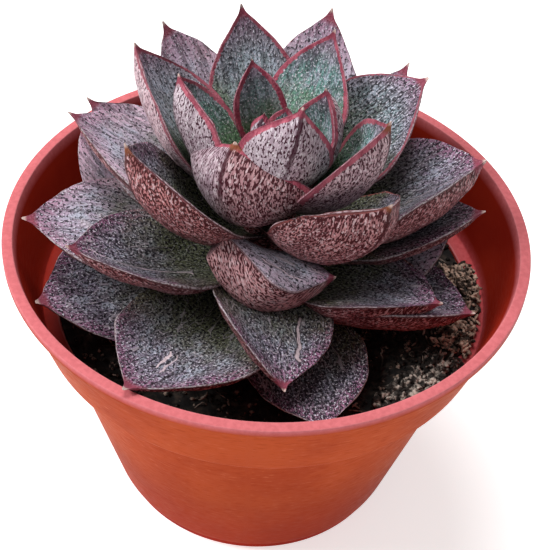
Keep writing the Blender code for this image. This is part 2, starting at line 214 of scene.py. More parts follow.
def value_noise(points, cell, seed):
    """Smooth noise from -1 to 1 at each point, with one random value a cell."""
    p = np.asarray(points, float) / cell + seed * 17.31
    low = np.floor(p).astype(np.int64)
    f = p - low
    w = f * f * (3.0 - 2.0 * f)
    total = np.zeros(len(p))
    for corner in range(8):
        step = np.array([corner & 1, corner >> 1 & 1, corner >> 2 & 1])
        at = low + step
        h = (at[:, 0] * 374761393 + at[:, 1] * 668265263 + at[:, 2] * 1442695041) & 0xFFFFFFFF
        h = ((h ^ (h >> 13)) * 1274126177) & 0xFFFFFFFF
        value = ((h ^ (h >> 16)) & 0xFFFFFF) / 0x7FFFFF - 1.0
        total += value * np.prod(np.where(step == 1, w, 1.0 - w), axis=1)
    return total


def smooth_curve(points, at):
    """Monotone cubic through the given points."""
    x = np.array([p[0] for p in points], float)
    y = np.array([p[1] for p in points], float)
    h = np.diff(x)
    d = np.diff(y) / h
    m = np.zeros_like(y)
    for i in range(1, len(x) - 1):
        if d[i - 1] * d[i] > 0.0:
            w1 = 2.0 * h[i] + h[i - 1]
            w2 = h[i] + 2.0 * h[i - 1]
            m[i] = (w1 + w2) / (w1 / d[i - 1] + w2 / d[i])
    m[0] = d[0]
    m[-1] = d[-1]
    k = np.clip(np.searchsorted(x, at) - 1, 0, len(x) - 2)
    t = (at - x[k]) / h[k]
    return ((1 + 2 * t) * (1 - t) ** 2 * y[k] + t * (1 - t) ** 2 * h[k] * m[k]
            + t * t * (3 - 2 * t) * y[k + 1] + t * t * (t - 1) * h[k] * m[k + 1])


def heading(azimuth):
    a = math.radians(azimuth)
    return np.array([math.sin(a), -math.cos(a), 0.0])


def make_piece(name, verts, faces, material, stands_for=(), attributes=None):
    """A smooth-shaded mesh object on the root body, from millimetres."""
    mesh = bpy.data.meshes.new(name)
    mesh.from_pydata((np.asarray(verts, float) * MM).tolist(), [], faces)
    for key, values in (attributes or {}).items():
        values = np.asarray(values, np.float32)
        kind = "FLOAT_VECTOR" if values.ndim == 2 else "FLOAT"
        layer = mesh.attributes.new(key, kind, "POINT")
        layer.data.foreach_set("vector" if values.ndim == 2 else "value", values.ravel())
    mesh.shade_smooth()
    mesh.update()
    obj = bpy.data.objects.new(name, mesh)
    bpy.context.scene.collection.objects.link(obj)
    mesh.materials.append(material)
    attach(obj, "root")
    if stands_for:
        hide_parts(*stands_for)
    return obj


# Materials

class Graph:
    """Short calls for building a material's nodes."""

    def __init__(self, name):
        self.material = bpy.data.materials.new(name)
        self.material.use_nodes = True
        self.tree = self.material.node_tree
        self.shader = self.tree.nodes["Principled BSDF"]

    def node(self, kind, **inputs):
        node = self.tree.nodes.new(kind)
        for key, value in inputs.items():
            self.plug(node, key.replace("_", " "), value)
        return node

    def plug(self, node, key, value):
        if isinstance(value, bpy.types.NodeSocket):
            self.tree.links.new(value, node.inputs[key])
        else:
            node.inputs[key].default_value = value

    def attribute(self, name, output="Fac"):
        node = self.tree.nodes.new("ShaderNodeAttribute")
        node.attribute_name = name
        return node.outputs[output]

    def noise(self, vector, scale, detail=3.0, roughness=0.6):
        node = self.node("ShaderNodeTexNoise", Vector=vector, Scale=scale, Detail=detail,
                         Roughness=roughness)
        return node.outputs["Fac"]

    def sway(self, vector, scale, amount):
        """A slow sideways wander, to draw lines that aren't quite straight."""
        node = self.node("ShaderNodeTexNoise", Vector=vector, Scale=scale, Detail=2.0)
        centred = self.vector("SUBTRACT", node.outputs["Color"], (0.5, 0.5, 0.5))
        return self.vector("MULTIPLY", centred, (amount, amount, 0.0))

    def stretch(self, vector, factors):
        node = self.tree.nodes.new("ShaderNodeVectorMath")
        node.operation = "MULTIPLY"
        self.tree.links.new(vector, node.inputs[0])
        node.inputs[1].default_value = factors
        return node.outputs[0]

    def ramp(self, value, low, high, to_low=0.0, to_high=1.0):
        node = self.tree.nodes.new("ShaderNodeMapRange")
        node.interpolation_type = "SMOOTHSTEP"
        self.plug(node, 0, value)
        for index, number in enumerate((low, high, to_low, to_high), 1):
            self.plug(node, index, number)
        return node.outputs[0]

    def math(self, operation, a, b=0.0):
        node = self.tree.nodes.new("ShaderNodeMath")
        node.operation = operation
        self.plug(node, 0, a)
        self.plug(node, 1, b)
        return node.outputs[0]

    def mix(self, factor, a, b):
        node = self.tree.nodes.new("ShaderNodeMix")
        node.data_type = "RGBA"
        self.plug(node, 0, factor)
        self.plug(node, 6, a if isinstance(a, bpy.types.NodeSocket) else (*a, 1.0))
        self.plug(node, 7, b if isinstance(b, bpy.types.NodeSocket) else (*b, 1.0))
        return node.outputs[2]

    def vector(self, operation, a, b, output=0):
        node = self.tree.nodes.new("ShaderNodeVectorMath")
        node.operation = operation
        self.plug(node, 0, a)
        self.plug(node, 1, b)
        return node.outputs[output]

    def line(self, place, start, end, half_width):
        """One near a straight line between two points of a plane, zero away from it."""
        run = Vector((end[0] - start[0], end[1] - start[1], 0.0))
        offset = self.vector("SUBTRACT", place, (start[0], start[1], 0.0))
        share = self.vector("DOT_PRODUCT", offset, run / run.length_squared, "Value")
        share = self.math("MINIMUM", self.math("MAXIMUM", share, 0.0), 1.0)
        foot = self.vector("MULTIPLY", run, self.combine(share))
        gap = self.vector("DISTANCE", offset, foot, "Value")
        return self.ramp(gap, half_width, half_width * 0.4)

    def combine(self, value):
        return self.node("ShaderNodeCombineXYZ", X=value, Y=value, Z=0.0).outputs[0]

    def finish(self, color, roughness, bump=None, strength=0.3, distance=0.0002, **sockets):
        self.plug(self.shader, "Base Color", color)
        self.plug(self.shader, "Roughness", roughness)
        if bump is not None:
            node = self.node("ShaderNodeBump", Height=bump, Strength=strength,
                             Distance=distance)
            self.tree.links.new(node.outputs[0], self.shader.inputs["Normal"])
        for key, value in sockets.items():
            self.plug(self.shader, key.replace("_", " "), value)
        return self.material


def leaf_material():
    """Waxy skin: olive to blue-grey above, lilac to red-brown below, flecked, with a red margin;
    painted light in the leaves' paleness, the light crease lines and the margin highlight.
    """
    g = Graph("leaf_skin")
    skin = g.attribute("skin", "Vector")
    below = g.attribute("below")
    edge = g.attribute("edge")
    along = g.attribute("along")
    age = g.attribute("age")
    red = g.attribute("red")
    warm = g.attribute("warm")
    pale = g.attribute("pale")
    bare = g.attribute("bare")
    split = g.node("ShaderNodeSeparateXYZ", Vector=skin)
    midrib = g.math("ABSOLUTE", split.outputs["Y"])

    cloud = g.noise(skin, 0.15, 3.0)
    bloom = g.noise(g.stretch(skin, (0.7, 1.0, 1.0)), 0.40, 4.0, 0.7)
    speck = g.noise(g.stretch(skin, (0.80, 1.0, 1.0)), 1.55, 2.0, 0.6)
    dots = g.noise(g.stretch(skin, (1.0, 1.2, 1.3)), 1.75, 2.0, 0.6)
    dash = g.noise(g.stretch(skin, (0.55, 1.0, 1.0)), 2.6, 1.5, 0.5)
    worm = g.noise(g.stretch(skin, (0.70, 1.0, 1.4)), 1.8, 2.0, 0.5)
    streak = g.noise(g.stretch(skin, (0.16, 1.0, 1.0)), 0.70, 3.0, 0.6)

    # Upper side
    upper = g.mix(g.ramp(age, 0.1, 0.9), (0.135, 0.290, 0.265), (0.195, 0.160, 0.222))
    # Paleness is partly the leaf's own bloom and pigment, partly painted light: lit leaves mixed
    # towards pale lilac, shaded leaves towards near black
    upper = g.mix(g.math("MULTIPLY", pale, 0.85), upper, (0.72, 0.60, 0.75))
    patch = g.math("MULTIPLY", g.ramp(bloom, 0.45, 0.61, 0.0, 0.85), g.ramp(age, 0.4, 1.0, 1.0, 0.78))
    upper = g.mix(patch, upper, (0.47, 0.53, 0.63))
    upper = g.mix(g.math("MULTIPLY", pale, -1.0), upper, (0.050, 0.045, 0.062))
    side = g.ramp(g.math("ADD", edge, g.math("MULTIPLY", cloud, 8.0)), 10.5, 4.2, 0.0, 1.0)
    purple = g.math("MULTIPLY", side, g.ramp(age, 0.2, 1.0, 0.20, 0.90))
    upper = g.mix(purple, upper, g.mix(pale, (0.245, 0.088, 0.172), (0.84, 0.62, 0.75)))
    upper = g.mix(g.ramp(along, 0.74, 0.97, 0.0, 0.75), upper, (0.34, 0.150, 0.250))
    upper = g.mix(g.ramp(streak, 0.43, 0.60, 0.0, 0.60), upper, (0.045, 0.035, 0.045))
    base = g.math("ADD", along, g.math("MULTIPLY", cloud, 0.5))
    base = g.math("MULTIPLY", g.ramp(base, 1.02, 0.60, 0.0, 0.90), g.ramp(bare, 1.0, 0.0))
    olive = g.mix(g.ramp(age, 0.1, 0.7), (0.100, 0.190, 0.085), (0.115, 0.128, 0.062))
    upper = g.mix(base, upper, olive)
    dark = g.math("ADD", speck, g.math("MULTIPLY", pale, -0.075))
    dark = g.math("MULTIPLY", g.ramp(dark, 0.490, 0.540, 0.0, 0.93), g.ramp(age, 0.0, 0.6, 0.55, 1.0))
    upper = g.mix(dark, upper, (0.012, 0.010, 0.015))
    light = g.mix(base, (0.74, 0.70, 0.80), (0.44, 0.46, 0.38))
    upper = g.mix(g.ramp(dots, 0.575, 0.640, 0.0, 0.78), upper, light)

    # Fine creases along the length, their thin light lines a painted highlight on the crease ridges
    crease = g.noise(g.stretch(skin, (0.35, 1.0, 1.0)), 0.28, 1.0, 0.5)
    crease = g.math("ABSOLUTE", g.math("SUBTRACT", crease, 0.5))
    crease = g.math("MULTIPLY", g.ramp(crease, 0.009, 0.003), g.ramp(age, 0.3, 0.9))
    upper = g.mix(g.math("MULTIPLY", crease, 0.40), upper, (0.62, 0.54, 0.60))

    # Lower side
    lower = g.mix(red, (0.62, 0.55, 0.61), (0.50, 0.190, 0.190))
    shade = g.mix(red, (0.40, 0.28, 0.35), (0.22, 0.055, 0.070))
    lower = g.mix(g.ramp(cloud, 0.36, 0.64, 0.0, 0.50), lower, shade)
    shade = g.mix(red, (0.22, 0.15, 0.19), (0.10, 0.016, 0.018))
    lower = g.mix(g.ramp(streak, 0.42, 0.62, 0.0, 0.45), lower, shade)
    # Paleness again: partly the leaf's own bloom, partly painted light on the strongly lit leaves
    lower = g.mix(g.math("MULTIPLY", pale, 0.6), lower, (0.78, 0.44, 0.46))
    dense = g.math("ADD", dash, g.ramp(red, 0.0, 1.0, -0.010, 0.055))
    dense = g.math("SUBTRACT", dense, g.math("MULTIPLY", pale, 0.035))
    dense = g.math("ADD", dense, g.math("MULTIPLY", g.ramp(edge, 2.8, 0.8, 0.0, 0.08), red))
    maroon = g.mix(red, (0.050, 0.008, 0.022), (0.055, 0.006, 0.007))
    lower = g.mix(g.ramp(dense, 0.525, 0.555, 0.0, 0.96), lower, maroon)
    light = g.mix(red, (0.82, 0.77, 0.82), (0.76, 0.50, 0.52))
    lower = g.mix(g.ramp(worm, 0.575, 0.630, 0.0, 0.66), lower, light)
    keel = g.math("ADD", midrib, g.math("MULTIPLY", worm, 0.9))
    keel = g.math("MULTIPLY", g.ramp(keel, 1.25, 0.75), g.ramp(along, 0.42, 0.75, 0.0, 0.9))
    lower = g.mix(keel, lower, maroon)
    color = g.mix(below, upper, lower)

    # Margin: a toothed red band on young leaves, a thin dark line on old ones, and on all of them a
    # broken painted highlight along the edge
    teeth = g.noise(g.stretch(skin, (1.9, 0.25, 0.2)), 1.0, 1.0, 0.5)
    width = g.math("ADD", g.ramp(age, 0.15, 0.95, 0.62, -0.95), g.math("MULTIPLY", teeth, 1.1))
    width = g.math("ADD", width, g.math("MULTIPLY", warm, 0.25))
    rim = g.ramp(g.math("SUBTRACT", width, edge), -0.10, 0.16, 0.0, 0.94)
    rim_color = g.mix(g.ramp(streak, 0.40, 0.60), (0.50, 0.110, 0.160), (0.30, 0.045, 0.080))
    rim_color = g.mix(age, rim_color, (0.24, 0.085, 0.105))
    rim_color = g.mix(g.ramp(warm, 0.5, 1.0), rim_color, (0.30, 0.085, 0.050))
    color = g.mix(g.math("MULTIPLY", rim, g.ramp(bare, 0.5, 0.0)), color, rim_color)
    fold = g.math("MULTIPLY", g.ramp(below, 0.0, 0.25), g.ramp(below, 1.0, 0.75))
    color = g.mix(g.math("MULTIPLY", fold, g.ramp(age, 0.3, 0.8, 0.0, 0.8)), color,
                  (0.150, 0.045, 0.050))
    # Painted highlight: a broken light line along the very edge, where the edge catches the light
    painted_margin_highlight = g.math("MULTIPLY", g.ramp(below, 0.0, 0.2), g.ramp(below, 0.55, 0.35))
    painted_margin_highlight = g.math("MULTIPLY", painted_margin_highlight, g.ramp(teeth, 0.40, 0.56, 0.15, 1.0))
    color = g.mix(painted_margin_highlight, color, g.mix(age, (0.62, 0.34, 0.40), (0.70, 0.62, 0.66)))

    # Scratches and creases
    place = g.vector("ADD", g.vector("MULTIPLY", skin, (1.0, 1.0, 0.0)), g.sway(skin, 0.35, 2.2))
    for leaf, start, end, half_width, tone in SCARS:
        shift = (leaf - 1) * SKIN_STEP
        mark = g.line(place, (start[0] + shift, start[1]), (end[0] + shift, end[1]), half_width)
        mark = g.math("MULTIPLY", g.math("MULTIPLY", mark, abs(tone)), g.ramp(below, 0.4, 0.1))
        color = g.mix(mark, color, (0.76, 0.60, 0.64) if tone > 0.0 else (0.014, 0.009, 0.012))

    # Point
    tip_color = g.mix(g.ramp(warm, 0.0, 0.5), (0.27, 0.055, 0.085), (0.24, 0.075, 0.030))
    near = g.math("SUBTRACT", along, g.math("MULTIPLY", cloud, 0.04))
    near = g.math("SUBTRACT", near, g.math("MULTIPLY", warm, 0.028))
    color = g.mix(g.ramp(near, 0.905, 0.935, 0.0, 0.90), color, tip_color)
    color = g.mix(g.ramp(along, 0.975, 0.992, 0.0, 0.80), color, (0.72, 0.56, 0.50))

    rough = g.ramp(speck, 0.35, 0.65, 0.36, 0.58)
    bump = g.math("ADD", speck, g.math("MULTIPLY", dots, 0.8))
    bump = g.math("ADD", bump, g.math("MULTIPLY", streak, 0.8))
    bump = g.math("ADD", bump, g.math("MULTIPLY", crease, 0.6))
    return g.finish(color, rough, bump, 0.8, 0.00030, Specular_IOR_Level=0.12)


def pot_material():
    """Thin moulded plastic: orange-brown outside and darker towards the bottom as painted shade, a
    pink lip whose lighter colour is painted sheen, a dark red inside darkened as painted shade, and
    painted highlights along the lip's and ledge's edges.
    """
    g = Graph("pot_plastic")
    place = g.node("ShaderNodeTexCoord").outputs["Object"]
    turn = g.attribute("turn", "Vector")
    lip = g.attribute("lip")
    inside = g.attribute("inside")
    painted_edge_highlight = g.attribute("painted_edge_highlight")
    cloud = g.noise(place, 34.0, 4.0, 0.62)
    scuff = g.noise(g.stretch(turn, (0.36, 1.7, 1.0)), 0.9, 3.0, 0.6)
    grain = g.noise(place, 900.0, 3.0, 0.6)
    color = g.mix(g.ramp(cloud, 0.36, 0.68), (0.430, 0.064, 0.013), (0.350, 0.043, 0.008))
    color = g.mix(g.ramp(scuff, 0.55, 0.68, 0.0, 0.38), color, (0.250, 0.026, 0.007))
    color = g.mix(g.ramp(scuff, 0.40, 0.28, 0.0, 0.30), color, (0.620, 0.165, 0.060))
    # Painted shade: the outside darker towards the bottom
    low = g.ramp(g.node("ShaderNodeSeparateXYZ", Vector=place).outputs["Z"], 0.055, 0.010)
    color = g.mix(g.math("MULTIPLY", low, 0.45), color, (0.250, 0.028, 0.006))
    # Painted shade: the inside is the same plastic given a darker red
    inner = g.mix(g.ramp(cloud, 0.35, 0.70), (0.380, 0.026, 0.011), (0.290, 0.016, 0.008))
    color = g.mix(inside, color, inner)
    # Painted sheen: the lip's top, and the ledge more on its right side, given a lighter pink
    lip_sheen = g.mix(g.ramp(grain, 0.35, 0.65), (0.600, 0.122, 0.138), (0.510, 0.088, 0.100))
    color = g.mix(lip, color, lip_sheen)
    # Painted highlight: lighter lines along the lip's edges and the ledge's edge
    color = g.mix(g.math("MULTIPLY", painted_edge_highlight, 0.35), color, (0.74, 0.32, 0.33))
    rough = g.ramp(scuff, 0.3, 0.7, 0.36, 0.52)
    bump = g.math("ADD", g.math("MULTIPLY", grain, 0.35), scuff)
    return g.finish(color, rough, bump, 0.22, 0.00012, Specular_IOR_Level=0.012)


def soil_material(name, dark, light, scale, low, high):
    """Matt crumbly stuff that varies between two colours."""
    g = Graph(name)
    place = g.node("ShaderNodeTexCoord").outputs["Object"]
    patch = g.noise(place, scale, 4.0, 0.65)
    fine = g.noise(place, scale * 4.0, 3.0, 0.7)
    color = g.mix(g.ramp(patch, low, high), dark, light)
    return g.finish(color, g.ramp(fine, 0.3, 0.7, 0.75, 0.95), fine, 0.6, 0.0002,
                    Specular_IOR_Level=0.25)


def floor_material():
    g = Graph("floor_pale")
    place = g.node("ShaderNodeTexCoord").outputs["Object"]
    patch = g.noise(place, 6.0, 2.0)
    color = g.mix(g.ramp(patch, 0.3, 0.7), (0.88, 0.88, 0.88), (0.90, 0.90, 0.90))
    return g.finish(color, 0.8, Emission_Color=(1.0, 1.0, 1.0, 1.0), Emission_Strength=0.58)


# Leaves

def leaf_stations():
    blade = np.linspace(0.0, 0.90, STATION_COUNT, endpoint=False)
    point = 0.90 + 0.0975 * np.linspace(0.0, 1.0, POINT_STATION_COUNT)
    return np.concatenate((blade, point))


def side_steps(count):
    """Places across a leaf from -1 to 1, closer together near the margins."""
    t = np.linspace(-1.0, 1.0, count)
    return np.sin(t * math.pi / 2.0) * 0.6 + t * 0.4


def vertex_normals(verts, faces):
    quads = np.array([f if len(f) == 4 else (*f, f[2]) for f in faces if len(f) < 5])
    a, b, c, d = (verts[quads[:, i]] for i in range(4))
    normal = np.cross(c - a, d - b) + 1e-12
    total = np.zeros_like(verts)
    for i in range(4):
        np.add.at(total, quads[:, i], normal)
    return total / np.maximum(np.linalg.norm(total, axis=1), 1e-9)[:, None]


def leaf_mesh(row, seat, number, age):
    azimuth, reach, tip_z, root_az, root_z, width, thick, sag, sway, roll, cup = row
    root_r, taper = seat
    root = heading(root_az) * root_r + np.array([0.0, 0.0, root_z])
    tip = heading(azimuth) * reach + np.array([0.0, 0.0, tip_z])
    length = np.linalg.norm(tip - root)
    along = (tip - root) / length
    out = heading((azimuth + root_az) / 2.0)
    side = np.cross(along, np.array([0.0, 0.0, 1.0]) - out)
    side /= np.linalg.norm(side)
    over = np.cross(side, along)
    bend = (root + tip) / 2.0 - over * sag * 0.02 * length + side * sway * 0.02 * length
    u = leaf_stations()[:, None]
    middle = (1 - u) ** 2 * root + 2 * u * (1 - u) * bend + u * u * tip
    run = (1 - u) * (bend - root) + u * (tip - bend)
    run /= np.linalg.norm(run, axis=1)[:, None]
    ref = np.array([0.0, 0.0, 1.0]) - 0.8 * out
    face = ref - (run @ ref)[:, None] * run
    face /= np.linalg.norm(face, axis=1)[:, None]
    across = np.cross(run, face)
    turn = np.radians(roll) * np.clip(u * 1.4, 0.0, 1.0)
    across, face = (across * np.cos(turn) + face * np.sin(turn),
                    face * np.cos(turn) - across * np.sin(turn))
    narrow = 1.0 - taper * (1.0 - u[:, 0]) ** 3
    half = width / 2.0 * smooth_curve(OUTLINE, u[:, 0]) * narrow
    body = thick * smooth_curve(BODY, u[:, 0]) * narrow
    edge = EDGE_THICKNESS * np.clip(half / 3.0, 0.12, 1.0)

    upper = side_steps(UPPER_COUNT)
    lower = -side_steps(LOWER_COUNT)
    verts = []
    below = []
    inset = []
    skin = []
    under = slice(UPPER_COUNT + 1, UPPER_COUNT + 1 + LOWER_COUNT)
    steps = [(s, 0) for s in upper] + [(1.0, 1)] + [(s, 2) for s in lower] + [(-1.0, 1)]
    for i in range(len(u)):
        keel = 2.2 - 0.8 * u[i, 0]
        for s, zone in steps:
            lift = cup * 0.01 * half[i] * abs(s) ** 1.8
            if zone == 0:
                lift += FLESH * half[i] * (1.0 - abs(s) ** 5)
            drop = body[i] * (1.0 - min(1.0, abs(s)) ** keel) ** 0.62
            reach_out = half[i] - edge[i] * 0.4 * (zone != 1)
            down = (0.0, edge[i] * 0.5, max(drop, edge[i]))[zone]
            verts.append(middle[i] + across[i] * reach_out * s + face[i] * (lift - down))
            below.append(zone / 2.0)
            inset.append((1.0 - abs(s)) * half[i])
            skin.append([u[i, 0] * length + number * SKIN_STEP, half[i] * s, zone * 9.0])
        # The patterns of the lower side follow its curve
        arc = np.array(verts[-len(steps):])[under]
        arc = np.append(0.0, np.cumsum(np.linalg.norm(np.diff(arc, axis=0), axis=1)))
        first = len(skin) - len(steps) + under.start
        for k, at in enumerate(arc):
            skin[first + k][1] = arc[LOWER_COUNT // 2] - at
            inset[first + k] = min(at, arc[-1] - at)
    ring = len(steps)
    faces = []
    for i in range(len(u) - 1):
        for j in range(ring):
            k = (j + 1) % ring
            faces.append((i * ring + j, i * ring + k, (i + 1) * ring + k, (i + 1) * ring + j))
    point = len(verts)
    verts.append(tip)
    last = (len(u) - 1) * ring
    for j in range(ring):
        k = (j + 1) % ring
        faces.append((last + j, last + k, point))
    foot = len(verts)
    verts.append(middle[0] - face[0] * body[0] * 0.5)
    for j in range(ring):
        k = (j + 1) % ring
        faces.append((k, j, foot))
    below += [0.5, 0.5]
    inset += [0.0, 0.0]
    skin += [[length + number * SKIN_STEP, 0.0, 0.0], [number * SKIN_STEP, 0.0, 0.0]]
    verts = np.array(verts)
    station = np.append(np.repeat(u[:, 0], ring), (1.0, 0.0))

    # Slow swells all over, and wrinkles on the older leaves
    normal = vertex_normals(verts, faces)
    calm = np.clip((1.0 - station) * 8.0, 0.0, 1.0)
    swell = value_noise(verts, 7.5, number) * 0.42 + value_noise(verts, 3.0, number + 40) * 0.14
    fold = value_noise(np.array(skin) * (0.28, 1.0, 1.0), 2.4, number + 120) * 0.16 * age
    wrinkle = value_noise(np.array(skin) * (0.5, 1.6, 1.0), 1.6, number + 80) * 0.06
    lifts = swell * (0.35 + 0.65 * age) + fold + wrinkle * (0.5 + age)
    verts = verts + normal * (lifts * calm)[:, None]
    attributes = {
        "bare": np.full(len(verts), 1.0 * (number + 1 in BARE_MARGINS)),
        "pale": np.full(len(verts), PALENESS_AND_PAINTED_LIGHT.get(number + 1, 0.0)),
        "skin": np.array(skin),
        "below": np.array(below),
        "edge": np.array(inset),
        "along": station,
        "age": np.full(len(verts), age),
        "across": np.append(np.tile([s for s, _ in steps], len(u)), (0.0, 0.0)),
    }
    return verts, faces, attributes


def build_leaves(material):
    for number, row in enumerate(LEAVES):
        seat = ODD_ROOTS.get(number, LEAF_SEAT)
        age = AGES.get(number + 1, min(1.0, max(0.0, (number - 2) / 12.0)))
        verts, faces, attributes = leaf_mesh(row, seat, number, age)
        left_red, right_red, warm = UNDERSIDES.get(number + 1, (0.9, 0.9, 0.0))
        across = attributes.pop("across")
        attributes["red"] = left_red + (right_red - left_red) * np.clip(0.5 - across * 2.5, 0, 1)
        attributes["warm"] = np.full(len(verts), warm)
        name = "leaf_%02d" % (number + 1)
        make_piece(name + "_skin", verts, faces, material, (name,), attributes)


def build_stem(material):
    segments = 48
    rings = [(r, z) for r, z in STEM_PROFILE]
    verts = []
    for r, z in rings:
        for s in range(segments):
            a = 2.0 * math.pi * s / segments
            verts.append((r * math.sin(a), -r * math.cos(a), z))
    faces = []
    for i in range(len(rings) - 1):
        for s in range(segments):
            t = (s + 1) % segments
            faces.append((i * segments + s, i * segments + t,
                          (i + 1) * segments + t, (i + 1) * segments + s))
    top = len(verts)
    verts += [(0.0, 0.0, STEM_PROFILE[-1][1] + 1.0), (0.0, 0.0, STEM_PROFILE[0][1])]
    last = (len(rings) - 1) * segments
    for s in range(segments):
        t = (s + 1) % segments
        faces.append((last + s, last + t, top))
        faces.append((t, s, top + 1))
    verts = np.array(verts)
    verts += vertex_normals(verts, faces) * (value_noise(verts, 2.0, 7) * 0.25)[:, None]
    count = len(verts)
    attributes = {"skin": verts, "below": np.ones(count), "edge": np.full(count, 9.0),
                  "along": np.full(count, 0.3), "age": np.full(count, 0.6),
                  "red": np.full(count, 1.0), "warm": np.zeros(count),
                  "pale": np.zeros(count), "bare": np.zeros(count)}
    make_piece("stem_core", verts, faces, material, ("stem",), attributes)
    for number, row in enumerate(HEART):
        verts, faces, attributes = leaf_mesh(row, HEART_SEAT, number + 60, 0.0)
        attributes["red"] = np.zeros(len(verts))
        attributes["warm"] = np.zeros(len(verts))
        attributes.pop("across")
        make_piece("heart_leaf_%d" % (number + 1), verts, faces, material,
                   ("stem",), attributes)


# Pot

def pot_profile():
    slope = (BODY_OUTER_TOP_R - BODY_OUTER_FOOT_R) / (LEDGE_TOP_Z - LEDGE_THICKNESS - 4.6)
    inner_floor_r = BODY_OUTER_FOOT_R - BODY_WALL + slope * 1.0
    return (
        (DRAIN_R, BASE_UNDERSIDE_Z, 0.2),
        (FOOT_INNER_R, BASE_UNDERSIDE_Z, 0.4),
        (FOOT_INNER_R, 0.0, 0.3),
        (FOOT_OUTER_R, 0.0, 0.5),
        (FOOT_OUTER_R + 0.2, 2.8, 0.3),
        (BODY_OUTER_FOOT_R - 0.4, 3.4, 0.3),
        (BODY_OUTER_FOOT_R, 4.6, 0.6),
        (BODY_OUTER_TOP_R, LEDGE_TOP_Z - LEDGE_THICKNESS, 0.5),
        (COLLAR_OUTER_FOOT_R - 0.3, LEDGE_TOP_Z - LEDGE_THICKNESS, 0.1),
        (COLLAR_OUTER_FOOT_R, LEDGE_TOP_Z - LEDGE_THICKNESS + 0.5, 0.3),
        (COLLAR_OUTER_TOP_R, POT_HEIGHT - LIP_THICKNESS, 0.3),
        (LIP_OUTER_R, POT_HEIGHT - LIP_THICKNESS + 0.3, 0.3),
        (LIP_OUTER_R, POT_HEIGHT, 0.28),
        (LIP_INNER_R, POT_HEIGHT, 0.28),
        (COLLAR_INNER_FOOT_R, LEDGE_TOP_Z, 0.4),
        (BODY_INNER_TOP_R, LEDGE_TOP_Z, 0.4),
        (inner_floor_r, BASE_TOP_Z + 1.0, 0.4),
        (inner_floor_r - 1.2, BASE_TOP_Z, 0.4),
        (DRAIN_R, BASE_TOP_Z, 0.2),
    )


def rounded(profile, longest=2.5):
    """The profile with each corner rounded and long runs split."""
    corners = []
    count = len(profile)
    for i in range(count):
        before, here, after = (np.array(profile[j % count][:2]) for j in (i - 1, i, i + 1))
        radius = profile[i][2]
        a = here + (before - here) / np.linalg.norm(before - here) * radius
        b = here + (after - here) / np.linalg.norm(after - here) * radius
        for t in (0.0, 0.33, 0.67, 1.0):
            corners.append((1 - t) ** 2 * a + 2 * t * (1 - t) * here + t * t * b)
    points = []
    for i, here in enumerate(corners):
        after = corners[(i + 1) % len(corners)]
        parts = max(1, int(np.linalg.norm(after - here) / longest))
        points += [here + (after - here) * k / parts for k in range(parts)]
    return np.array(points)


def build_pot(material):
    profile = rounded(pot_profile())
    rows = len(profile)
    a = np.arange(POT_SEGMENTS) * 2.0 * math.pi / POT_SEGMENTS
    r = profile[:, 0][None, :] * np.ones((POT_SEGMENTS, 1))
    z = profile[:, 1][None, :] * np.ones((POT_SEGMENTS, 1))
    angle = a[:, None] * np.ones((1, rows))
    verts = np.stack((r * np.sin(angle), -r * np.cos(angle), z), axis=2).reshape(-1, 3)
    faces = []
    for s in range(POT_SEGMENTS):
        t = (s + 1) % POT_SEGMENTS
        for i in range(rows):
            j = (i + 1) % rows
            faces.append((s * rows + i, t * rows + i, t * rows + j, s * rows + j))
    radius = r.ravel()
    height = z.ravel()
    wall = np.interp(height, (0.0, LEDGE_TOP_Z - 1.0, LEDGE_TOP_Z - 0.5, POT_HEIGHT),
                     (37.0, 49.8, 53.0, 58.6))
    lip = np.clip((height - (POT_HEIGHT - 1.1)) / 0.6, 0.0, 1.0)
    ledge = ((height > LEDGE_TOP_Z - 0.3) & (height < LEDGE_TOP_Z + 0.5)
             & (radius < COLLAR_INNER_FOOT_R + 0.3))
    corners = ((LIP_OUTER_R, POT_HEIGHT), (LIP_INNER_R, POT_HEIGHT),
               (BODY_INNER_TOP_R, LEDGE_TOP_Z))
    # Painted highlight along the lip's two edges and the ledge's edge
    painted_edge_highlight = np.zeros(len(radius))
    for corner_r, corner_z in corners:
        painted_edge_highlight = np.maximum(painted_edge_highlight, 1.0 - np.hypot(radius - corner_r, height - corner_z) / 0.45)
    attributes = {
        "turn": np.stack((np.degrees(angle).ravel(), height, radius * 0.2), axis=1),
        # The ledge takes a share of the lip's painted sheen, larger on the right side where the light
        # falls
        "lip": np.maximum(lip, ledge * (0.40 + 0.30 * np.sin(angle).ravel())),
        "painted_edge_highlight": np.clip(painted_edge_highlight * 1.6, 0.0, 1.0),
        "inside": np.clip((wall - radius) * 1.5 + 0.5, 0.0, 1.0),
    }
    make_piece("pot_shell", verts, faces, material, ("pot",), attributes)


# Soil

def heap(azimuth):
    best = np.zeros_like(azimuth)
    for middle, half_width in SOIL_HEAPS:
        off = np.abs((azimuth - middle + 180.0) % 360.0 - 180.0) / half_width
        best = np.maximum(best, 1.0 - off * off)
    return best


def soil_height(radius, azimuth):
    """Top of the soil, without its crumbs."""
    h = heap(azimuth)
    rise = np.interp(radius, (6.0, 22.0, 34.0, 44.0, 49.0, 52.0), (0.2, 0.2, 0.6, 0.9, 0.6, 0.0))
    lift = np.interp(radius, (34.0, 44.0, 50.0, 53.0), (0.0, 2.6, 4.2, 1.6))
    return SOIL_EDGE_Z + rise + lift * h


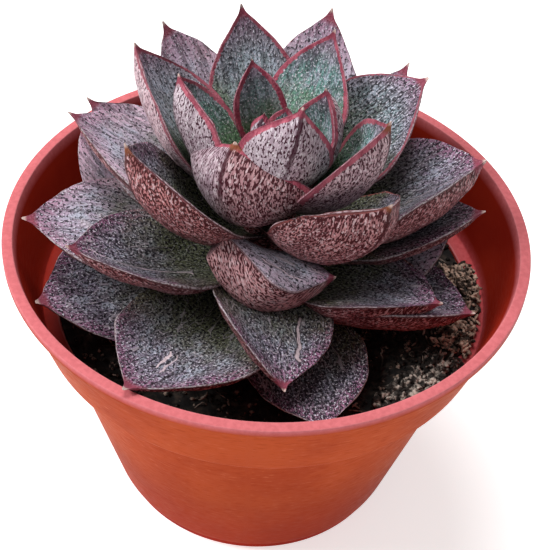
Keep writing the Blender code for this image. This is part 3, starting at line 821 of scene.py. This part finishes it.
def build_soil(material):
    segments = 300
    slope = (BODY_OUTER_TOP_R - BODY_OUTER_FOOT_R) / (LEDGE_TOP_Z - LEDGE_THICKNESS - 4.6)
    floor_r = BODY_OUTER_FOOT_R - BODY_WALL + slope * 1.0 - SOIL_GAP
    azimuth = np.arange(segments) * 360.0 / segments
    h = heap(azimuth)
    over = np.clip((h - 0.3) / 0.3, 0.0, 1.0)
    edge_r = BODY_INNER_TOP_R - SOIL_GAP + 2.2 * over
    columns = []
    for s in range(segments):
        column = [(floor_r - 1.2, BASE_TOP_Z + SOIL_GAP), (floor_r, BASE_TOP_Z + 1.0)]
        column += [(BODY_INNER_TOP_R - SOIL_GAP, LEDGE_TOP_Z - 1.2)]
        inner = np.linspace(1.0, 0.0, 70)
        radii = SOIL_HOLE_R + (edge_r[s] - SOIL_HOLE_R) * inner
        tops = soil_height(radii, np.full(70, azimuth[s]))
        tops[0] = max(LEDGE_TOP_Z + SOIL_GAP, tops[0] - 1.0) if over[s] > 0 else LEDGE_TOP_Z - 0.6
        column += list(zip(radii, tops))
        column += [(SOIL_HOLE_R, SOIL_HOLE_FLOOR_Z)]
        columns.append(column)
    rows = len(columns[0])
    grid = np.array(columns)
    angle = np.radians(azimuth)[:, None] * np.ones((1, rows))
    r = grid[:, :, 0]
    verts = np.stack((r * np.sin(angle), -r * np.cos(angle), grid[:, :, 1]), axis=2)
    verts = verts.reshape(-1, 3)
    crumb = (value_noise(verts, 2.4, 3) * 0.5 + value_noise(verts, 1.1, 4) * 0.3
             + value_noise(verts, 0.5, 5) * 0.14)
    top = np.zeros((segments, rows))
    top[:, 4:-1] = 1.0
    verts[:, 2] += crumb * top.ravel()
    faces = []
    for s in range(segments):
        t = (s + 1) % segments
        for i in range(rows - 1):
            faces.append((s * rows + i, t * rows + i, t * rows + i + 1, s * rows + i + 1))
    bottom = len(verts)
    verts = np.vstack((verts, ((0.0, 0.0, BASE_TOP_Z + SOIL_GAP), (0.0, 0.0, SOIL_HOLE_FLOOR_Z))))
    for s in range(segments):
        t = (s + 1) % segments
        faces.append((bottom, t * rows, s * rows))
        faces.append((bottom + 1, s * rows + rows - 1, t * rows + rows - 1))
    make_piece("soil_bed", verts, faces, material, ("soil",))


def ball(level):
    bm = bmesh.new()
    bmesh.ops.create_icosphere(bm, subdivisions=level, radius=1.0)
    verts = np.array([v.co[:] for v in bm.verts])
    faces = [tuple(v.index for v in f.verts) for f in bm.faces]
    bm.free()
    return verts, faces


def scatter(name, material, level, places, sizes, seed):
    """Lumps of soil: each a dented ball, stretched and turned its own way."""
    rng = np.random.default_rng(seed)
    base, base_faces = ball(level)
    verts = []
    faces = []
    for place, size in zip(places, sizes):
        dent = 1.0 + 0.22 * value_noise(base * 1.3, 1.0, rng.integers(1, 500))
        turn = Matrix.Rotation(rng.uniform(0, 6.28), 3, "Z") @ Matrix.Rotation(
            rng.uniform(-0.7, 0.7), 3, "X") @ Matrix.Rotation(rng.uniform(-0.9, 0.9), 3, "Y")
        lump = (base * dent[:, None] * size) @ np.array(turn).T + place
        start = len(verts) * len(base)
        verts.append(lump)
        faces += [tuple(start + i for i in f) for f in base_faces]
    make_piece(name, np.vstack(verts), faces, material, ("soil",))


def ring_places(rng, count, low_r, high_r, low_az, high_az):
    radius = np.sqrt(rng.uniform(low_r ** 2, high_r ** 2, count))
    azimuth = rng.uniform(low_az, high_az, count)
    height = soil_height(radius, azimuth)
    a = np.radians(azimuth)
    return np.stack((radius * np.sin(a), -radius * np.cos(a), height), axis=1)


def build_crumbs(dark, beige, grey):
    rng = np.random.default_rng(11)
    places = ring_places(rng, 3200, 14.0, 48.4, -180.0, 180.0)
    places[:, 2] += rng.uniform(-0.2, 0.5, len(places))
    sizes = rng.uniform(0.25, 0.75, (len(places), 1)) * rng.uniform(0.6, 1.3, (len(places), 3))
    scatter("soil_crumbs", dark, 1, places, sizes, 21)
    for name, material, (middle, half), count in (
            ("soil_heap_right", beige, SOIL_HEAPS[0], 420),
            ("soil_heap_front", grey, SOIL_HEAPS[1], 360)):
        places = ring_places(rng, count, 42.5, 51.4, middle - half * 0.8, middle + half * 0.8)
        places[:, 2] += rng.uniform(-0.3, 0.9, len(places))
        sizes = np.stack((rng.uniform(0.6, 1.3, count), rng.uniform(0.32, 0.58, count),
                          rng.uniform(0.32, 0.58, count)), axis=1)
        scatter(name, material, 2, places, sizes, 22)


def tube(points, radii, sides=5):
    """A closed tapering tube through points."""
    verts = []
    faces = []
    count = len(points)
    for i in range(count):
        run = points[min(i + 1, count - 1)] - points[max(i - 1, 0)]
        run = run / np.linalg.norm(run)
        x = np.cross(run, (0.31, 0.27, 0.91))
        x /= np.linalg.norm(x)
        y = np.cross(run, x)
        for s in range(sides):
            a = 2.0 * math.pi * s / sides
            verts.append(points[i] + (x * math.cos(a) + y * math.sin(a)) * radii[i])
    for i in range(count - 1):
        for s in range(sides):
            t = (s + 1) % sides
            faces.append((i * sides + s, i * sides + t, (i + 1) * sides + t, (i + 1) * sides + s))
    faces.append(tuple(reversed(range(sides))))
    faces.append(tuple((count - 1) * sides + s for s in range(sides)))
    return verts, faces


def build_fibres(material):
    rng = np.random.default_rng(31)
    verts = []
    faces = []
    for i in range(260):
        place = ring_places(rng, 1, 26.0, 48.0, -180.0, 180.0)[0]
        a = rng.uniform(0.0, 6.28)
        length = rng.uniform(1.2, 4.2)
        curl = rng.uniform(-0.3, 0.3)
        points = []
        at = place + (0.0, 0.0, rng.uniform(0.2, 0.8))
        for k in range(6):
            points.append(at)
            a += curl
            at = at + np.array((math.cos(a), math.sin(a), rng.uniform(-0.2, 0.2))) * length / 5
        radius = rng.uniform(0.10, 0.30)
        more, more_faces = tube(points, [radius * w for w in (0.6, 1, 1, 1, 0.9, 0.5)])
        start = len(verts)
        verts += more
        faces += [tuple(start + j for j in f) for f in more_faces]
    make_piece("soil_fibres", np.array(verts), faces, material, ("soil",))


# Stage

def build_stage():
    bpy.ops.mesh.primitive_plane_add(size=6.0, location=(0.0, 0.0, 0.0))
    floor = bpy.context.object
    floor.name = "floor"
    floor.data.materials.append(floor_material())


def aim(obj, target):
    direction = Vector(target) - obj.location
    obj.rotation_euler = direction.to_track_quat("-Z", "Y").to_euler()


def build_lights():
    world = bpy.data.worlds.new("studio")
    bpy.context.scene.world = world
    world.use_nodes = True
    back = world.node_tree.nodes["Background"]
    back.inputs["Color"].default_value = (1.0, 1.0, 1.0, 1.0)
    back.inputs["Strength"].default_value = 0.30
    for name, place, size, power in (
            ("key", (-0.70, -0.10, 0.75), 0.40, 7.5),
            ("top", (-0.05, 0.30, 1.00), 0.45, 6.0)):
        light = bpy.data.lights.new(name, "AREA")
        light.shape = "DISK"
        light.size = size
        light.energy = power
        obj = bpy.data.objects.new(name, light)
        obj.location = place
        bpy.context.scene.collection.objects.link(obj)
        aim(obj, (0.0, 0.0, 0.07))


def build_camera():
    """The photograph's view, measured from the middle of the pot's rim."""
    e, y, p, r = (math.radians(v) for v in (CAMERA_ELEVATION, CAMERA_YAW, CAMERA_PITCH,
                                            CAMERA_ROLL))
    place = np.array([0.0, -math.cos(e), math.sin(e)]) * CAMERA_DISTANCE
    forward = -place / CAMERA_DISTANCE
    right = np.array([1.0, 0.0, 0.0])
    up = np.cross(right, forward)
    forward, right = (forward * math.cos(y) + right * math.sin(y),
                      right * math.cos(y) - forward * math.sin(y))
    forward, up = (forward * math.cos(p) + up * math.sin(p),
                   up * math.cos(p) - forward * math.sin(p))
    right, up = (right * math.cos(r) + up * math.sin(r),
                 up * math.cos(r) - right * math.sin(r))
    matrix = Matrix((right, up, -forward)).transposed().to_4x4()
    matrix.translation = Vector(place * MM) + Vector((0.0, 0.0, POT_HEIGHT * MM))
    camera = bpy.data.cameras.new("photo_camera")
    camera.sensor_width = SENSOR
    camera.lens = FOCAL_PIXELS * SENSOR / IMAGE_HEIGHT
    camera.clip_start = 0.01
    obj = bpy.data.objects.new("photo_camera", camera)
    obj.matrix_world = matrix
    bpy.context.scene.collection.objects.link(obj)
    bpy.context.scene.camera = obj


build_camera()
build_lights()
build_stage()
build_pot(pot_material())
PEAT = soil_material("peat", (0.006, 0.005, 0.005), (0.050, 0.036, 0.028), 420.0, 0.45, 0.72)
CRUMB = soil_material("peat_crumbs", (0.009, 0.007, 0.006), (0.260, 0.190, 0.150), 330.0, 0.54, 0.66)
BEIGE = soil_material("grain_beige", (0.030, 0.018, 0.013), (0.560, 0.390, 0.300), 460.0, 0.42, 0.60)
GREY = soil_material("grain_grey", (0.018, 0.014, 0.012), (0.420, 0.350, 0.300), 420.0, 0.46, 0.62)
FIBRE = soil_material("fibre_pale", (0.020, 0.015, 0.012), (0.330, 0.260, 0.215), 240.0, 0.46, 0.62)
build_soil(PEAT)
build_crumbs(CRUMB, BEIGE, GREY)
build_fibres(FIBRE)
SKIN = leaf_material()
build_stem(SKIN)
build_leaves(SKIN)

view = bpy.context.scene.view_settings
view.view_transform = "Standard"
view.look = "None"
